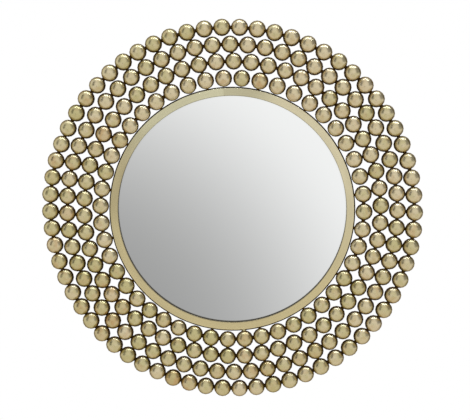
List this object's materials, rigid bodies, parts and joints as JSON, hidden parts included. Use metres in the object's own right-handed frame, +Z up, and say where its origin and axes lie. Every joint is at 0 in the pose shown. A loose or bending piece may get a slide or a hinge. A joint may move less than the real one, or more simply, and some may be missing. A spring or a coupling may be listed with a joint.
{
  "type": "round wall mirror with ball surround",
  "caption": "Round flat mirror in a rebated metal ring, with an openwork surround of welded metal balls and swinging D-ring hangers on a clipped-in back board.",
  "frame": {"origin": "middle of the backing board's rear face", "axes": "+Z up as hung, -Y is the way the glass faces, +Y is towards the wall, +X to the viewer's right from the front"},
  "size_m": [0.8007, 0.0435, 0.7998],
  "materials": {
    "ball_finish": "satin champagne plating, hand burnished",
    "ring_finish": "brushed along the ring",
    "mirror_glass": "silvered flat glass",
    "foam": "matt foam tape",
    "board": "bare fibreboard",
    "zinc_plate": "zinc plated",
    "bumper_rubber": "matt"
  },
  "bodies": {
    "mirror": {"frame_ring": "ring_finish", "glass_gasket": "foam", "mirror_glass": "mirror_glass", "backing_board": "board", "ball_strand_outer_1": "ball_finish", "ball_strand_outer_2": "ball_finish", "ball_strand_outer_3": "ball_finish", "ball_strand_outer_4": "ball_finish", "ball_strand_outer_5": "ball_finish", "ball_strand_outer_6": "ball_finish", "ball_strand_second_1": "ball_finish", "ball_strand_second_2": "ball_finish", "ball_strand_second_3": "ball_finish", "ball_strand_second_4": "ball_finish", "ball_strand_second_5": "ball_finish", "ball_strand_second_6": "ball_finish", "ball_strand_third_1": "ball_finish", "ball_strand_third_2": "ball_finish", "ball_strand_third_3": "ball_finish", "ball_strand_third_4": "ball_finish", "ball_strand_third_5": "ball_finish", "ball_strand_third_6": "ball_finish", "ball_strand_inner_1": "ball_finish", "ball_strand_inner_2": "ball_finish", "ball_strand_inner_3": "ball_finish", "ball_strand_inner_4": "ball_finish", "ball_strand_inner_5": "ball_finish", "ball_strand_inner_6": "ball_finish", "turn_button_screw_1": "zinc_plate", "turn_button_screw_2": "zinc_plate", "turn_button_screw_3": "zinc_plate", "turn_button_screw_4": "zinc_plate", "turn_button_screw_5": "zinc_plate", "turn_button_screw_6": "zinc_plate", "hanger_strap_left": "zinc_plate", "hanger_strap_right": "zinc_plate", "hanger_screw_left_upper": "zinc_plate", "hanger_screw_left_lower": "zinc_plate", "hanger_screw_right_upper": "zinc_plate", "hanger_screw_right_lower": "zinc_plate", "wall_bumper_upper_right": "bumper_rubber", "wall_bumper_upper_left": "bumper_rubber", "wall_bumper_lower_left": "bumper_rubber", "wall_bumper_lower_right": "bumper_rubber"},
    "button_1": {"turn_button_1": "zinc_plate"},
    "button_2": {"turn_button_2": "zinc_plate"},
    "button_3": {"turn_button_3": "zinc_plate"},
    "button_4": {"turn_button_4": "zinc_plate"},
    "button_5": {"turn_button_5": "zinc_plate"},
    "button_6": {"turn_button_6": "zinc_plate"},
    "hanging_ring_left": {"d_ring_left": "zinc_plate"},
    "hanging_ring_right": {"d_ring_right": "zinc_plate"}
  },
  "joints": [
    {"name": "turn_button_1_swivel", "type": "hinge", "parent": "mirror", "child": "button_1", "pos_m": [0.21954, 0.00105, 0.12675], "axis": [0, 1, 0], "range_deg": [-90, 90]},
    {"name": "turn_button_2_swivel", "type": "hinge", "parent": "mirror", "child": "button_2", "pos_m": [0, 0.00105, 0.2535], "axis": [0, 1, 0], "range_deg": [-90, 90]},
    {"name": "turn_button_3_swivel", "type": "hinge", "parent": "mirror", "child": "button_3", "pos_m": [-0.21954, 0.00105, 0.12675], "axis": [0, 1, 0], "range_deg": [-90, 90]},
    {"name": "turn_button_4_swivel", "type": "hinge", "parent": "mirror", "child": "button_4", "pos_m": [-0.21954, 0.00105, -0.12675], "axis": [0, 1, 0], "range_deg": [-90, 90]},
    {"name": "turn_button_5_swivel", "type": "hinge", "parent": "mirror", "child": "button_5", "pos_m": [0, 0.00105, -0.2535], "axis": [0, 1, 0], "range_deg": [-90, 90]},
    {"name": "turn_button_6_swivel", "type": "hinge", "parent": "mirror", "child": "button_6", "pos_m": [0.21954, 0.00105, -0.12675], "axis": [0, 1, 0], "range_deg": [-90, 90]},
    {"name": "d_ring_left_hinge", "type": "hinge", "parent": "mirror", "child": "hanging_ring_left", "pos_m": [-0.09, 0.0033, 0.17], "axis": [1, 0, 0], "range_deg": [0, 184]},
    {"name": "d_ring_right_hinge", "type": "hinge", "parent": "mirror", "child": "hanging_ring_right", "pos_m": [0.09, 0.0033, 0.17], "axis": [1, 0, 0], "range_deg": [0, 184]}
  ]
}
